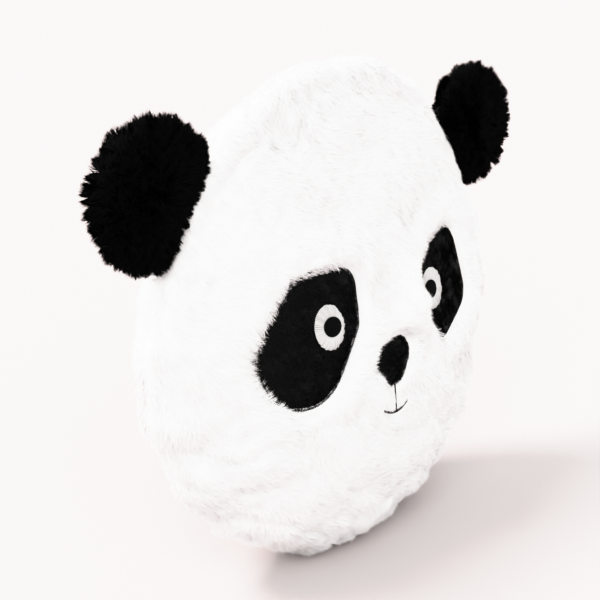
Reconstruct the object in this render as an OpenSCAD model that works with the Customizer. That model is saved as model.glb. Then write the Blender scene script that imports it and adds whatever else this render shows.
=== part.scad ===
// Round plush cushion in the form of a panda's head, standing on its pressed base.
// Millimetres, +Z up, the face looks towards -Y, the origin is under the middle of the base.

/* [Head] */
// Width of the head at its rim seam
head_w = 339; // [300:1:380]
// Height of the head's outline before the base is pressed flat
head_h = 346; // [300:1:380]
// Share by which the outline is fuller at the chin than at mid height
chin_swell = 0.048; // [0:0.004:0.08]
// Depth of the face in front of the rim seam at mid height
face_bulge = 46; // [36:1:60]
// Share by which the face gets deeper towards the chin
face_sag = 0.78; // [0:0.02:0.9]
// Depth of the back behind the rim seam at mid height
back_bulge = 58; // [40:1:70]
// Share by which the back gets deeper towards the base
back_sag = 0.24; // [0:0.02:0.6]
// Height of the curve that the floor presses flat
base_flat = 4; // [3:0.5:10]
// Thickness of the white fur fabric with its pile
head_fur = 6; // [4:0.5:9]

/* [Ears] */
// Angle of an ear's middle above the horizontal through the rim's centre
ear_angle = 32; // [25:1:50]
// Radius of an ear's disc
ear_r = 45; // [35:1:55]
// Distance from the rim seam out to the middle of an ear
ear_out = 23; // [15:1:30]
// Half of an ear's thickness at its middle
ear_half = 11; // [8:0.5:14]
// Thickness of the black fur fabric with its pile
ear_fur = 4; // [3:0.5:5]
// Distance from the rim seam out to the line that the ear bends about
flop_out = 2; // [2:0.5:4]

/* [Face] */
// Distance between the middles of the two eyes
eye_gap = 111; // [90:1:130]
// Height of the eyes above the rim's centre
eye_up = 4; // [-20:1:30]
// Diameter of the white of an eye
white_d = 27; // [20:1:34]
// Diameter of a pupil
pupil_d = 12.5; // [8:0.5:16]
// Distance that a pupil sits nearer the nose than the middle of its eye
pupil_in = 2.5; // [0:0.5:4]
// Width of the nose
nose_w = 34; // [24:1:44]
// Height of the nose's middle below the rim's centre
nose_down = 34; // [25:1:50]
// Width of the mouth
mouth_w = 27; // [16:1:36]

/* [Hidden] */

white_fur = [0.97, 0.96, 0.95];
black_fur = [0.05, 0.05, 0.055];
black_thread = [0.08, 0.08, 0.085];
fibre = [0.93, 0.93, 0.91];

face = -1;           // side of the rim seam that the face is on, along Y
back = 1;            // side of the rim seam that the back is on
left = -1;           // the side of the head that its left ear, seen from the front, is on
right = 1;
rings = 9;           // rings of facets from the middle of a panel to its rim
spokes = 48;         // facets around the rim
gap = 0.3;           // air left between two cut pieces that are not glued together
sewn_gap = 0.6;      // air left between a sewn-on piece and the facets of the skin under it
thread_d = 1.5;      // diameter of the rim seam's thread
thread_in = 8;       // how far inside the rim the seam's thread runs
stuffing_in = 11;    // how far inside the rim the stuffing ends
root_r = 1;          // radius of the rolled edge of fabric that an ear bends about
patch_h = 1.6;       // pile height of the trimmed black plush
stitch_h = 0.9;      // height of an embroidered thread above its ground

rim_height = head_h / 2 * (1 + chin_swell) - base_flat;

// ---- The head's surface ----------------------------------------------------------------

// Share by which the outline is larger or smaller in the direction turn, measured from +X
function swell(turn) = 1 - chin_swell * sin(turn);

// Depth of a panel, in front of or behind the rim seam, at a share s of the way to the rim
function panel_depth(side, s, turn, inset) =
    let (bulge = side == face ? face_bulge : back_bulge,
         sag = side == face ? face_sag : back_sag)
    (bulge - inset) * (1 - sag * s * sin(turn) * swell(turn)) * sqrt(max(0, 1 - s * s));

// The rim seam lies so that the head's box is centred on Y = 0
deepest = [for (side = [face, back])
    max([for (i = [0 : rings]) panel_depth(side, sin(90 * i / rings), -90, 0)])];
rim_y = (deepest[0] - deepest[1]) / 2;

// Point of a panel's surface, moved inwards by inset, with the base pressed flat
function panel_point(side, s, turn, inset) = [
    s * (head_w / 2 - inset) * cos(turn) * swell(turn),
    rim_y + side * panel_depth(side, s, turn, inset),
    max(rim_height + s * (head_h / 2 - inset) * sin(turn) * swell(turn), inset)
];

// Point of a panel's outer surface at a given X and height above the rim's centre
function skin_point(side, at, lift) =
    let (turn = atan2(at[1] / head_h, at[0] / head_w),
         s = norm([at[0] / head_w, at[1] / head_h]) * 2 / swell(turn))
    [at[0], rim_y + side * (panel_depth(side, s, turn, 0) + lift), rim_height + at[1]];

// Middle and rings of a panel's surface, from the middle out
function panel_grid(side, inset) = concat(
    [panel_point(side, 0, 0, inset)],
    [for (i = [1 : rings], k = [0 : spokes - 1])
        panel_point(side, sin(90 * i / rings), 360 * k / spokes, inset)]);

// ---- Solids between two grids -------------------------------------------------------------

// Faces of one grid of rings that starts at point number first
function grid_faces(first, ring_count, count, flip) = [
    for (k = [0 : count - 1])
        let (next = (k + 1) % count)
        flip ? [first, first + 1 + next, first + 1 + k] : [first, first + 1 + k, first + 1 + next],
    for (i = [0 : ring_count - 2], k = [0 : count - 1])
        let (next = (k + 1) % count,
             inner = first + 1 + i * count,
             outer = inner + count)
        for (f = [[inner + k, outer + k, outer + next], [inner + k, outer + next, inner + next]])
            flip ? [f[0], f[2], f[1]] : f
];

// Faces that join the outermost rings of two grids
function edge_faces(ring_a, ring_b, count, flip) = [
    for (k = [0 : count - 1])
        let (next = (k + 1) % count)
        for (f = [[ring_a + k, ring_b + k, ring_b + next], [ring_a + k, ring_b + next, ring_a + next]])
            flip ? [f[0], f[2], f[1]] : f
];

// Closed solid between an upper and a lower grid with the same number of rings and spokes
module between(upper, lower, ring_count, count, flip) {
    n = len(upper);
    last = 1 + (ring_count - 1) * count;
    polyhedron(
        points = concat(upper, lower),
        faces = concat(
            grid_faces(0, ring_count, count, flip),
            grid_faces(n, ring_count, count, !flip),
            edge_faces(last, n + last, count, flip)),
        convexity = 4);
}

// ---- Appliques that follow the skin ------------------------------------------------------

// Outline stretched around circles, each given as its middle and radius
function stretched(circles, count) = [
    for (k = [0 : count - 1])
        let (d = [cos(360 * k / count), sin(360 * k / count)],
             reaches = [for (c = circles) d * c[0] + c[1]],
             c = circles[search(max(reaches), reaches)[0]])
        c[0] + c[1] * d
];
function circle_outline(at, r, count) = stretched([[at, r]], count);
function mirrored(outline, side) = [for (p = outline) [side * p[0], p[1]]];

// Sheet on the skin inside an outline, from lift_low to lift_high above the skin
module applique(side, outline, middle, lift_low, lift_high, ring_count = 3) {
    count = len(outline);
    shares = [for (i = [1 : ring_count]) i / ring_count];
    function grid(lift) = concat(
        [skin_point(side, middle, lift)],
        [for (s = shares, p = outline) skin_point(side, middle + s * (p - middle), lift)]);
    turns_left = cross(outline[0] - middle, outline[1] - middle) > 0;
    between(grid(lift_high), grid(lift_low), ring_count, count, (side == face) == turns_left);
}

// Ring on the skin between an outer and an inner outline with the same number of points
module applique_ring(side, outer, inner, lift_low, lift_high) {
    count = len(outer);
    points = [for (lift = [lift_high, lift_low], outline = [outer, inner], p = outline)
        skin_point(side, p, lift)];
    turns_left = cross(outer[1] - outer[0], inner[0] - outer[0]) > 0;
    flip = (side == face) == turns_left;
    polyhedron(
        points = points,
        faces = concat(
            edge_faces(0, count, count, flip),
            edge_faces(3 * count, 2 * count, count, flip),
            edge_faces(2 * count, 0, count, flip),
            edge_faces(count, 3 * count, count, flip)),
        convexity = 4);
}

// Straight stitch of round thread from one point to another
module stitch(from, to, r) {
    along = to - from;
    translate(from)
        rotate([0, acos(along[2] / norm(along)), atan2(along[1], along[0])])
            cylinder(h = norm(along), r = r, $fn = 16);
}

// ---- Head ----------------------------------------------------------------------------------

module head_panel(side) {
    between(panel_grid(side, 0), panel_grid(side, head_fur), rings, spokes, side == back);
}

module face_panel() color(white_fur) head_panel(face);
module back_panel() color(white_fur) head_panel(back);

// Polyester fibre that fills the head and stops short of the seam
module head_stuffing() {
    seam_half = 1;
    function half(side) = [for (p = panel_grid(side, stuffing_in)) p + [0, side * seam_half, 0]];
    color(fibre) between(half(face), half(back), rings, spokes, false);
}

// Outline of the rim, moved inwards, as points in X and height
function rim_outline(inset) = [for (k = [0 : spokes - 1])
    let (p = panel_point(face, 1, 360 * k / spokes, inset)) [p[0], p[2]]];

// Lock-stitched thread that holds the two panels together, just inside their edges
module rim_thread() {
    color(white_fur)
        translate([0, rim_y + thread_d / 2, 0])
            rotate([90, 0, 0])
                linear_extrude(thread_d)
                    difference() {
                        polygon(rim_outline(thread_in));
                        polygon(rim_outline(thread_in + thread_d));
                    }
}

// Ladder stitches over the gap that the head was turned and filled through
module closing_stitches() {
    stitch_count = 12;
    reach = 3;
    start = -50;
    step = 1.6;
    thread_r = 0.6;
    color(white_fur)
        for (i = [0 : stitch_count - 1]) {
            p = panel_point(back, 1, start + i * step, -thread_r - gap / 2);
            stitch(p - [0, reach, 0], p + [0, reach, 0], thread_r);
        }
}

// Blank cloth label, sewn into the rim seam and folded on to the back
module care_label() {
    label_w = 24;
    label_len = 38;
    label_h = 0.8;
    label_turn = -52;
    root = 0.955 * rim_outline_at(label_turn);
    out = [cos(label_turn), sin(label_turn)];
    across = [-out[1], out[0]];
    corners = [[0, -1], [0, 1], [1, 1], [1, -1]];
    steps = 4;
    outline = [for (c = [0 : 3], k = [0 : steps - 1])
        let (q = corners[c] + (corners[(c + 1) % 4] - corners[c]) * k / steps)
        root - out * q[0] * label_len + across * q[1] * label_w / 2];
    color(white_fur)
        applique(back, outline, root - out * label_len / 2, sewn_gap, sewn_gap + label_h, 2);
}

// Point of the rim in the direction turn, as X and height above the rim's centre
function rim_outline_at(turn) = [head_w * cos(turn), head_h * sin(turn)] * swell(turn) / 2;

// ---- Face ----------------------------------------------------------------------------------

patch_points = 40;
patch_middle = [72, -4];
patch_circles = [[patch_middle, 37.5], [[44, 28], 11.5], [[38, 4], 10.5]];
function patch_outline(side, inset) = mirrored(
    stretched([for (c = patch_circles) [c[0], c[1] - inset]], patch_points), side);
function eye_at(side) = [side * eye_gap / 2, eye_up];
function pupil_at(side) = eye_at(side) - [side * pupil_in, 0];

// Leaning oval of short black plush around the eye
module eye_patch(side) {
    color(black_fur)
        applique(face, patch_outline(side, 0), [side * patch_middle[0], patch_middle[1]],
            sewn_gap, patch_h, 4);
}

// Row of stitches just inside the patch's edge
module patch_stitches(side) {
    edge_in = 3;
    stitch_len = 3.5;
    thread_r = 0.35;
    path = patch_outline(side, edge_in);
    lift = patch_h + thread_r + gap / 2;
    color(black_thread)
        for (i = [0 : patch_points - 1]) {
            a = skin_point(face, path[i], lift);
            b = skin_point(face, path[(i + 1) % patch_points], lift);
            pieces = max(1, round(norm(b - a) / stitch_len));
            for (k = [0 : pieces - 1])
                stitch(a + (b - a) * (k + 0.1) / pieces, a + (b - a) * (k + 0.9) / pieces, thread_r);
        }
}

// Satin-stitched white of the eye, with an opening for the pupil
module eye_white(side) {
    points = 32;
    color([0.9, 0.9, 0.88])
        applique_ring(face,
            circle_outline(eye_at(side), white_d / 2, points),
            circle_outline(pupil_at(side), pupil_d / 2 + gap, points),
            patch_h + gap / 2, patch_h + stitch_h);
}

module pupil(side) {
    color(black_thread)
        applique(face, circle_outline(pupil_at(side), pupil_d / 2, 24), pupil_at(side),
            patch_h + gap / 2, patch_h + stitch_h, 2);
}

// Rounded triangle of black plush with its point down
module nose() {
    points = 36;
    corner = 0.09;
    middle = [0, -nose_down];
    outline = [for (k = [0 : points - 1])
        let (turn = 360 * k / points, r = nose_w / 2 * (1 + corner * sin(3 * turn)) / (1 + corner / 2))
        middle + r * [cos(turn), sin(turn)]];
    color(black_fur) applique(face, outline, middle, sewn_gap, sewn_gap + patch_h, 3);
}

// Line of thread from the nose down to a shallow smile
module mouth_stitches() {
    thread_r = 1.1;
    top = -nose_down - nose_w / 2 - 2;
    join = -66;
    corner_up = 4;
    arm_steps = 5;
    stem_steps = 4;
    function smile(x) = [x, join + corner_up * pow(abs(x) / (mouth_w / 2), 2)];
    stem = [for (k = [0 : stem_steps]) [0, top + (join - top) * k / stem_steps]];
    arms = [for (side = [left, right])
        [for (k = [0 : arm_steps]) smile(side * mouth_w / 2 * k / arm_steps)]];
    color(black_thread)
        for (path = concat([stem], arms))
            for (k = [0 : len(path) - 2]) {
                a = skin_point(face, path[k], thread_r + gap / 2);
                b = skin_point(face, path[k + 1], thread_r + gap / 2);
                stitch(a + 0.06 * (b - a), b - 0.06 * (b - a), thread_r);
            }
}

// ---- Ears ----------------------------------------------------------------------------------

// Puts its children on the rim at an ear, with Z pointing outwards and Y to the back
module at_ear(side) {
    at = rim_outline_at(ear_angle);
    translate([side * at[0], rim_y, rim_height + at[1]])
        rotate([0, side * (90 - ear_angle), 0])
            children();
}

// Lens that an ear's fabric is cut to, shrunk by inset
module ear_lens(inset, from_y, to_y) {
    steps = 24;
    rotate([90, 0, 0])
        rotate_extrude($fn = 96)
            intersection() {
                polygon([for (k = [0 : steps])
                    let (turn = -90 + 180 * k / steps)
                    [(ear_r - inset) * cos(turn), (ear_half - inset) * sin(turn)]]);
                translate([0, from_y])
                    square([ear_r, to_y - from_y]);
            }
}

// Cuts an ear to a wedge at its root, so that it clears the head as it bends
module ear_cut() {
    root_cut = flop_out + root_r + gap - ear_out;
    root_half = 1.5;
    wedge = 48;
    size = 4 * ear_r;
    difference() {
        children();
        translate([-size / 2, -size / 2, root_cut - size])
            cube([size, size, size]);
        for (side = [face, back])
            translate([0, side * root_half, root_cut])
                rotate([side * -wedge, 0, 0])
                    translate([-size / 2, side == back ? 0 : -size, -size / 2])
                        cube([size, size, size]);
    }
}

module ear_piece(side, inset_out, inset_in, from_y, to_y) {
    at_ear(side)
        translate([0, 0, ear_out])
            ear_cut()
                difference() {
                    ear_lens(inset_out, from_y, to_y);
                    if (inset_in > 0)
                        ear_lens(inset_in, -ear_half, ear_half);
                }
}

module ear_front(side) color(black_fur) ear_piece(side, 0, ear_fur, 0, ear_half);
module ear_back(side) color(black_fur) ear_piece(side, 0, ear_fur, -ear_half, 0);
module ear_stuffing(side) color(fibre) ear_piece(side, ear_fur + gap, 0, -ear_half, ear_half);

// Both layers of the ear's fabric where they are caught in the rim seam, with a rolled outer edge
module ear_root(side) {
    root_w = 74;
    depth = 12;
    color(black_fur)
        difference() {
            at_ear(side) {
                translate([-root_w / 2, -root_r, flop_out - depth])
                    cube([root_w, 2 * root_r, depth]);
                translate([0, 0, flop_out])
                    rotate([0, 90, 0])
                        cylinder(h = root_w, r = root_r, center = true, $fn = 48);
            }
            translate([0, rim_y + 2 * root_r, 0])
                rotate([90, 0, 0])
                    linear_extrude(4 * root_r)
                        polygon(rim_outline(-gap / 10));
        }
}

face_panel();
back_panel();
head_stuffing();
rim_thread();
closing_stitches();
care_label();
eye_patch(left);  // eye_patch_left
eye_patch(right);  // eye_patch_right
patch_stitches(left);  // patch_stitches_left
patch_stitches(right);  // patch_stitches_right
eye_white(left);  // eye_white_left
eye_white(right);  // eye_white_right
pupil(left);  // pupil_left
pupil(right);  // pupil_right
nose();
mouth_stitches();
ear_front(left);  // ear_front_left
ear_back(left);  // ear_back_left
ear_stuffing(left);  // ear_stuffing_left
ear_root(left);  // ear_root_left
ear_front(right);  // ear_front_right
ear_back(right);  // ear_back_right
ear_stuffing(right);  // ear_stuffing_right
ear_root(right);  // ear_root_right
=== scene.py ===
"""Looks of the plush panda head: skins under cloth pressure, fur of single strands and embroidery.

Lengths are in metres and angles in radians, in the CAD frame: Z up, the face towards -Y and the origin under
the base. "Left" is -X. On the face, "up" is the height above the middle of the rim.
"""

import math

import bpy
import numpy as np
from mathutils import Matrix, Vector
from mathutils.bvhtree import BVHTree


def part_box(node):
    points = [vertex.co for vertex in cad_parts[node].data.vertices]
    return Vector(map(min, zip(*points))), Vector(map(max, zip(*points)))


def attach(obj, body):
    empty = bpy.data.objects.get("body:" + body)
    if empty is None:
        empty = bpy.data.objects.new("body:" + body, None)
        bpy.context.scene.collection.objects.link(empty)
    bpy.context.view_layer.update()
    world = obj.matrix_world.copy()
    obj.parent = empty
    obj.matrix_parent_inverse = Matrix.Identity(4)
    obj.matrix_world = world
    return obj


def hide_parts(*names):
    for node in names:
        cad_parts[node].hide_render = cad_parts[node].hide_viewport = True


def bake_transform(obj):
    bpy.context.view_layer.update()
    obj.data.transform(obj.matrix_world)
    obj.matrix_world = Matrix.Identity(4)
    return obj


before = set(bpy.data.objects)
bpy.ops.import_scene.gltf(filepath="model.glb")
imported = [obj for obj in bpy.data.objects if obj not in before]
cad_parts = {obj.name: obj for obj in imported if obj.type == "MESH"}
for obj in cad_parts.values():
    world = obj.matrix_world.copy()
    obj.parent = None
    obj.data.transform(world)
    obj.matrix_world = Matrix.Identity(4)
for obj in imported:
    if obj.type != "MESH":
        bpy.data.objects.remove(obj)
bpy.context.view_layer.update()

FACE, BACK = -1, 1
LEFT, RIGHT = -1, 1
SIDE_NAMES = {LEFT: "left", RIGHT: "right"}

# ---- Sizes of the head, ears and trims ----

HEAD_W = 0.339
HEAD_H = 0.346
CHIN_SWELL = 0.048                      # how much further the rim stands out at the chin than at the sides
BULGE = {FACE: 0.046, BACK: 0.058}      # height of each panel over the rim's plane
SAG = {FACE: 0.78, BACK: 0.24}          # how far each panel's fullness has sunk from the top to the bottom
RIM_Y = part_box("face_panel")[1].y
RIM_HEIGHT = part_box("face_panel")[1].z - HEAD_H / 2 * (1 - CHIN_SWELL)
EAR_ANGLE = math.radians(32)
EAR_R = 0.045
EAR_OUT = 0.023
EAR_HALF = 0.011
EYE_X, EYE_UP = 0.0560, 0.0037
EYE_R = np.array((0.0130, 0.0147))      # across and upwards
PUPIL_R = np.array((0.0076, 0.0065))
PUPIL_IN = 0.0024                       # how far the pupil is off the eye's middle, towards the nose
NOSE_X, NOSE_UP = 0.0005, -0.0320
NOSE_R = 0.0185
NOSE_FLAT = 0.93                        # height of the nose as a share of its width
MOUTH_X, MOUTH_UP = -0.0025, -0.0685
MOUTH_HALF = 0.0128
LABEL_W, LABEL_L = 0.024, 0.038
LABEL_TURN = math.radians(-52)          # place on the rim, from +X
LABEL_ROOT = 0.955                      # share of the way out to the rim where the label is sewn on
CLOSING_TURNS = np.radians(np.arange(12) * 1.6 - 50)
# Circles that a patch's outline is stretched round: how far out from the face's middle, how far up, radius
PATCH_CIRCLES = {
    LEFT: (
        (0.079, -0.010, 0.0375),
        (0.072, 0.014, 0.0235),
        (0.0385, 0.0260, 0.0150),
        (0.039, 0.003, 0.0137),
    ),
    RIGHT: (
        (0.081, 0.024, 0.0200),
        (0.090, -0.0065, 0.0172),
        (0.0675, -0.029, 0.0078),
        (0.052, 0.0055, 0.017),
    ),
}

# ---- Sizes of the looks ----

SKIN_LIFT = 0.0015      # height of the skin's backing over the CAD's surface
PATCH_SUNK = 0.0055     # how far the white skin is pulled in under a patch
NOSE_SUNK = 0.0035      # how far the white skin is pulled in under the nose
CREASE_UP = -0.0575     # how far up the crease runs across the right cheek
BASE_FLAT = 0.0015      # height over the floor of the skin where the head rests on it

FUR_STRANDS = 66000     # in each region of white fur
FUR_LENGTH = 0.0068
FUR_HALF_WIDTH = {FACE: 0.00015, BACK: 0.00019}
EAR_STRANDS = 30000     # on each face of an ear
EAR_FUR_LENGTH = 0.0098
EAR_FUR_HALF_WIDTH = 0.00032
EAR_SKIN_IN = 0.004     # how far an ear's skin lies inside the CAD's surface
PATCH_STRANDS = 26000
NOSE_STRANDS = 6500
PLUSH_LENGTH = 0.0026
PLUSH_HALF_WIDTH = 0.00014
NAP = np.array((0.85, 0.0, -0.45))          # direction that the white fur lies in, on the face
PLUSH_NAP = np.array((-0.75, 0.0, 0.65))    # and the trimmed plush of the patches and nose
OVER_FLOOR = 0.0003     # height over the floor of the fur that the head presses flat

HEAD_VOXEL = 0.005      # size of the facets of the cloth
EAR_VOXEL = 0.003
CLOTH_FRAMES = 20
LOOSEST_HOLD = 0.02     # how firmly the freest points of a skin are held, of 1
HEAD_MOVE_CAP = 0.004   # furthest that the pressure may move a point of a skin
EAR_MOVE_CAP = 0.003


# ---- Small helpers ----

def unit(vectors):
    """The vectors scaled to length 1."""
    return vectors / np.maximum(np.linalg.norm(vectors, axis=-1, keepdims=True), 1e-9)


def dots(a, b):
    """Dot products of the rows of a and b, as a column."""
    return np.sum(a * b, axis=-1, keepdims=True)


def smooth_step(low, high, value):
    """0 where value is at low or before it, 1 at high or past it, smooth between; low may be above high."""
    t = np.clip((value - low) / (high - low), 0, 1)
    return t * t * (3 - 2 * t)


def bump(value, width):
    """1 where value is 0, falling to 0 over a few widths."""
    return np.exp(-((value / width) ** 2))


def circle(turns):
    """Points of the unit circle."""
    return np.stack([np.cos(turns), np.sin(turns)], axis=-1)


def ripple(points, wavelength, seed, waves=7):
    """Smooth vector noise of about unit size: sine waves in random directions."""
    rng = np.random.default_rng(seed)
    total = np.zeros_like(points)
    for _ in range(waves):
        direction = unit(rng.normal(size=3))
        turns = points @ direction / (wavelength * rng.uniform(0.7, 1.5))
        total += np.sin(2 * math.pi * (turns[:, None] + rng.uniform(size=3)))
    return total / math.sqrt(waves / 2)


def shown_as(name, points, faces, material):
    """New smooth-shaded mesh object from points and faces."""
    mesh = bpy.data.meshes.new(name)
    mesh.from_pydata(np.asarray(points).tolist(), [], faces)
    mesh.shade_smooth()
    obj = bpy.data.objects.new(name, mesh)
    bpy.context.collection.objects.link(obj)
    obj.data.materials.append(material)
    return obj


def vertex_array(mesh, what="co"):
    """The vertices' places as rows, or their smooth normals when what is "normal"."""
    rows = np.empty(len(mesh.vertices) * 3)
    mesh.vertices.foreach_get(what, rows)
    return rows.reshape(-1, 3)


def set_vertices(mesh, points):
    """Moves the mesh's vertices to the points."""
    mesh.vertices.foreach_set("co", points.ravel())
    mesh.update()


def set_material(obj, material):
    """Gives the whole object one material in place of those it has."""
    obj.data.materials.clear()
    obj.data.materials.append(material)


def closed_faces(rings, spokes):
    """Faces of a closed form: a disc of points in rings for the front, and one for the back that has no outer
    ring of its own and joins the front's."""
    faces = []
    for side in (FACE, BACK):
        first = 0 if side == FACE else 1 + rings * spokes
        for k in range(spokes):
            after = (k + 1) % spokes
            fan = (first, first + 1 + k, first + 1 + after)
            faces.append(fan if side == FACE else fan[::-1])
            for ring in range(rings - 1):
                inner = first + 1 + ring * spokes
                outer = inner + spokes
                if side == BACK and ring == rings - 2:
                    outer = 1 + (rings - 1) * spokes
                quad = (inner + k, outer + k, outer + after, inner + after)
                faces.append(quad if side == FACE else quad[::-1])
    return faces


# ---- Surface of the head ----

def swell(turn):
    """Distance out to the rim as a share of its oval's: under 1 at the top and over 1 at the chin."""
    return 1 - CHIN_SWELL * np.sin(turn)


def turn_and_share(x, up):
    """Direction of a point of the face from the rim's middle, and its share of the way to the rim."""
    turn = np.arctan2(up / HEAD_H, x / HEAD_W)
    return turn, 2 * np.hypot(x / HEAD_W, up / HEAD_H) / swell(turn)


def inside_rim(share):
    """About how far inside the rim a point is, from its share of the way to the rim."""
    return (1 - np.minimum(share, 1)) * HEAD_W / 2


def panel_depth(side, share, turn, inset):
    """Height of a panel over the rim's plane, at a share of the way to the rim."""
    sag = SAG[side] * share * np.sin(turn) * swell(turn)
    return (BULGE[side] - inset) * (1 - sag) * np.sqrt(np.maximum(0, 1 - share**2))


def panel_points(side, share, turn, inset):
    """Points of a panel, drawn in by inset from the CAD's and flat at the base."""
    x = share * (HEAD_W / 2 - inset) * np.cos(turn) * swell(turn)
    y = RIM_Y + side * panel_depth(side, share, turn, inset)
    z = RIM_HEIGHT + share * (HEAD_H / 2 - inset) * np.sin(turn) * swell(turn)
    lowest = 0.0018
    return np.stack([x, y, np.maximum(z, lowest)], axis=-1)


def face_points(side, x, up, lift):
    """Points at a height of lift over the CAD's surface of one side, at x and up."""
    x, up = np.broadcast_arrays(np.asarray(x, float), np.asarray(up, float))
    turn, share = turn_and_share(x, up)
    y = RIM_Y + side * (panel_depth(side, share, turn, 0) + lift)
    return np.stack([x, y, RIM_HEIGHT + up], axis=-1)


def rim_point(turn):
    """Place on the rim, from its middle."""
    return Vector((HEAD_W * math.cos(turn), 0, HEAD_H * math.sin(turn))) * swell(turn) / 2


# ---- Outlines on the face ----

PATCH_DIRECTIONS = circle(np.linspace(0, 2 * math.pi, 72, endpoint=False))


def patch_supports(side):
    """Distance of each circle's tangent from the face's middle in each direction, as if on the right."""
    circles = np.array(PATCH_CIRCLES[side])
    return PATCH_DIRECTIONS @ circles[:, :2].T + circles[:, 2]


def patch_outline(side, inset=0.0):
    """The line stretched round the patch's circles, or one that runs inset inside it."""
    circles = np.array(PATCH_CIRCLES[side])[np.argmax(patch_supports(side), axis=-1)]
    return (circles[:, :2] + (circles[:, 2:] - inset) * PATCH_DIRECTIONS) * (side, 1)


def patch_distance(side, x, up):
    """Distance outside the patch's outline, negative inside, and the direction away from it."""
    across = np.stack([side * x, up], axis=-1) @ PATCH_DIRECTIONS.T
    past = across - patch_supports(side).max(axis=-1)
    nearest = np.argmax(past, axis=-1)
    away = PATCH_DIRECTIONS[nearest] * (side, 1)
    return np.take_along_axis(past, nearest[..., None], axis=-1)[..., 0], away


def nose_radius(turn):
    """Distance of the nose's outline from its middle: a disc with three soft corners, one of them below."""
    corner = 0.09
    return NOSE_R * (1 + corner * np.sin(3 * turn)) / (1 + corner / 2)


def nose_distance(x, up):
    """Distance outside the nose's outline, negative inside, and the direction away from its middle."""
    offset = np.stack([x - NOSE_X, (up - NOSE_UP) / NOSE_FLAT], axis=-1)
    turn = np.arctan2(offset[..., 1], offset[..., 0])
    return np.linalg.norm(offset, axis=-1) - nose_radius(turn), unit(offset)


def smile_up(x):
    """How far up the line of the smile is."""
    corners_up = 0.004
    return MOUTH_UP + corners_up * (np.abs(x - MOUTH_X) / MOUTH_HALF) ** 2


def mouth_distance(x, up):
    """Distance from the nearer of the mouth's stem and smile."""
    stem = np.hypot(x - MOUTH_X, np.maximum(0, MOUTH_UP - up) + np.maximum(0, up - NOSE_UP))
    smile = np.hypot(np.maximum(0, np.abs(x - MOUTH_X) - MOUTH_HALF), up - smile_up(x))
    return np.minimum(stem, smile)


# ---- Cloth ----

def remeshed(obj, voxel):
    """Replaces the object's mesh with even facets of one size."""
    modifier = obj.modifiers.new("Even", "REMESH")
    modifier.mode = "VOXEL"
    modifier.voxel_size = voxel
    modifier.use_smooth_shade = True
    bake_modifiers(obj)


def bake_modifiers(obj):
    """Makes what the modifiers show the object's own mesh."""
    graph = bpy.context.evaluated_depsgraph_get()
    mesh = bpy.data.meshes.new_from_object(obj.evaluated_get(graph))
    obj.modifiers.clear()
    obj.data = mesh


def press_out(obj, held, slack, cap):
    """Lets air pressure fill a slack skin, and subdivides it once.

    held is how firmly each vertex is held, cap the furthest that one may move.
    """
    held = np.clip(held, LOOSEST_HOLD, 1)
    start = vertex_array(obj.data)
    group = obj.vertex_groups.new(name="held")
    for weight in (0.25, 0.5, 0.75, 1.0):
        chosen = np.nonzero(np.ceil(held * 4) == weight * 4)[0]
        group.add(chosen.tolist(), weight, "REPLACE")
    cloth = obj.modifiers.new("Cloth", "CLOTH")
    settings = cloth.settings
    settings.quality = 5
    settings.mass = 0.25
    settings.tension_stiffness = 20
    settings.compression_stiffness = 20
    settings.bending_stiffness = 0.4
    settings.use_pressure = True
    settings.uniform_pressure_force = 4
    settings.shrink_min = -slack
    settings.effector_weights.gravity = 0
    settings.vertex_group_mass = group.name
    cloth.point_cache.frame_start = 1
    cloth.point_cache.frame_end = CLOTH_FRAMES
    for number in range(1, CLOTH_FRAMES + 1):
        bpy.context.scene.frame_set(number)
    bake_modifiers(obj)
    bpy.context.scene.frame_set(1)
    obj.vertex_groups.clear()
    moved = vertex_array(obj.data) - start
    length = np.linalg.norm(moved, axis=1, keepdims=True)
    set_vertices(obj.data, start + moved * np.minimum(1, cap / np.maximum(length, 1e-9)))
    smooth = obj.modifiers.new("Smooth", "SUBSURF")
    smooth.levels = 1
    bake_modifiers(obj)
    obj.data.shade_smooth()


# ---- Fur ----

def tufts(roots, size, seed):
    """Way from each strand's root to the middle of its tuft, in tuft sizes, and a random 0 to 1 per tuft."""
    rng = np.random.default_rng(seed)
    cells = np.floor((roots + 0.4 * size * ripple(roots, 3 * size, seed)) / size).astype(int)
    _, tuft, strands = np.unique(cells, axis=0, return_inverse=True, return_counts=True)
    tuft = tuft.ravel()
    middles = np.stack([np.bincount(tuft, roots[:, axis]) for axis in range(3)], axis=-1) / strands[:, None]
    return (middles[tuft] - roots) / size, rng.uniform(size=len(strands))[tuft]


def scatter(mesh, count, keep, seed):
    """Random points of a mesh with their smooth normals. keep(points) is the chance that each is kept."""
    rng = np.random.default_rng(seed)
    mesh.calc_loop_triangles()
    corners = np.empty(len(mesh.loop_triangles) * 3, np.int32)
    mesh.loop_triangles.foreach_get("vertices", corners)
    corners = corners.reshape(-1, 3)
    areas = np.empty(len(mesh.loop_triangles))
    mesh.loop_triangles.foreach_get("area", areas)
    places, normals = vertex_array(mesh), vertex_array(mesh, "normal")
    found, leaning, total = [], [], 0
    most_rounds = 40
    for _ in range(most_rounds):
        chosen = rng.choice(len(areas), size=count, p=areas / areas.sum())
        a, b = np.sort(rng.uniform(size=(2, count)), axis=0)
        shares = np.stack([a, b - a, 1 - b], axis=-1)[..., None]
        p = np.sum(places[corners[chosen]] * shares, axis=1)
        n = unit(np.sum(normals[corners[chosen]] * shares, axis=1))
        kept = rng.uniform(size=count) < keep(p)
        found.append(p[kept])
        leaning.append(n[kept])
        total += int(kept.sum())
        if total >= count:
            break
    return np.concatenate(found)[:count], np.concatenate(leaning)[:count]


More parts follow.
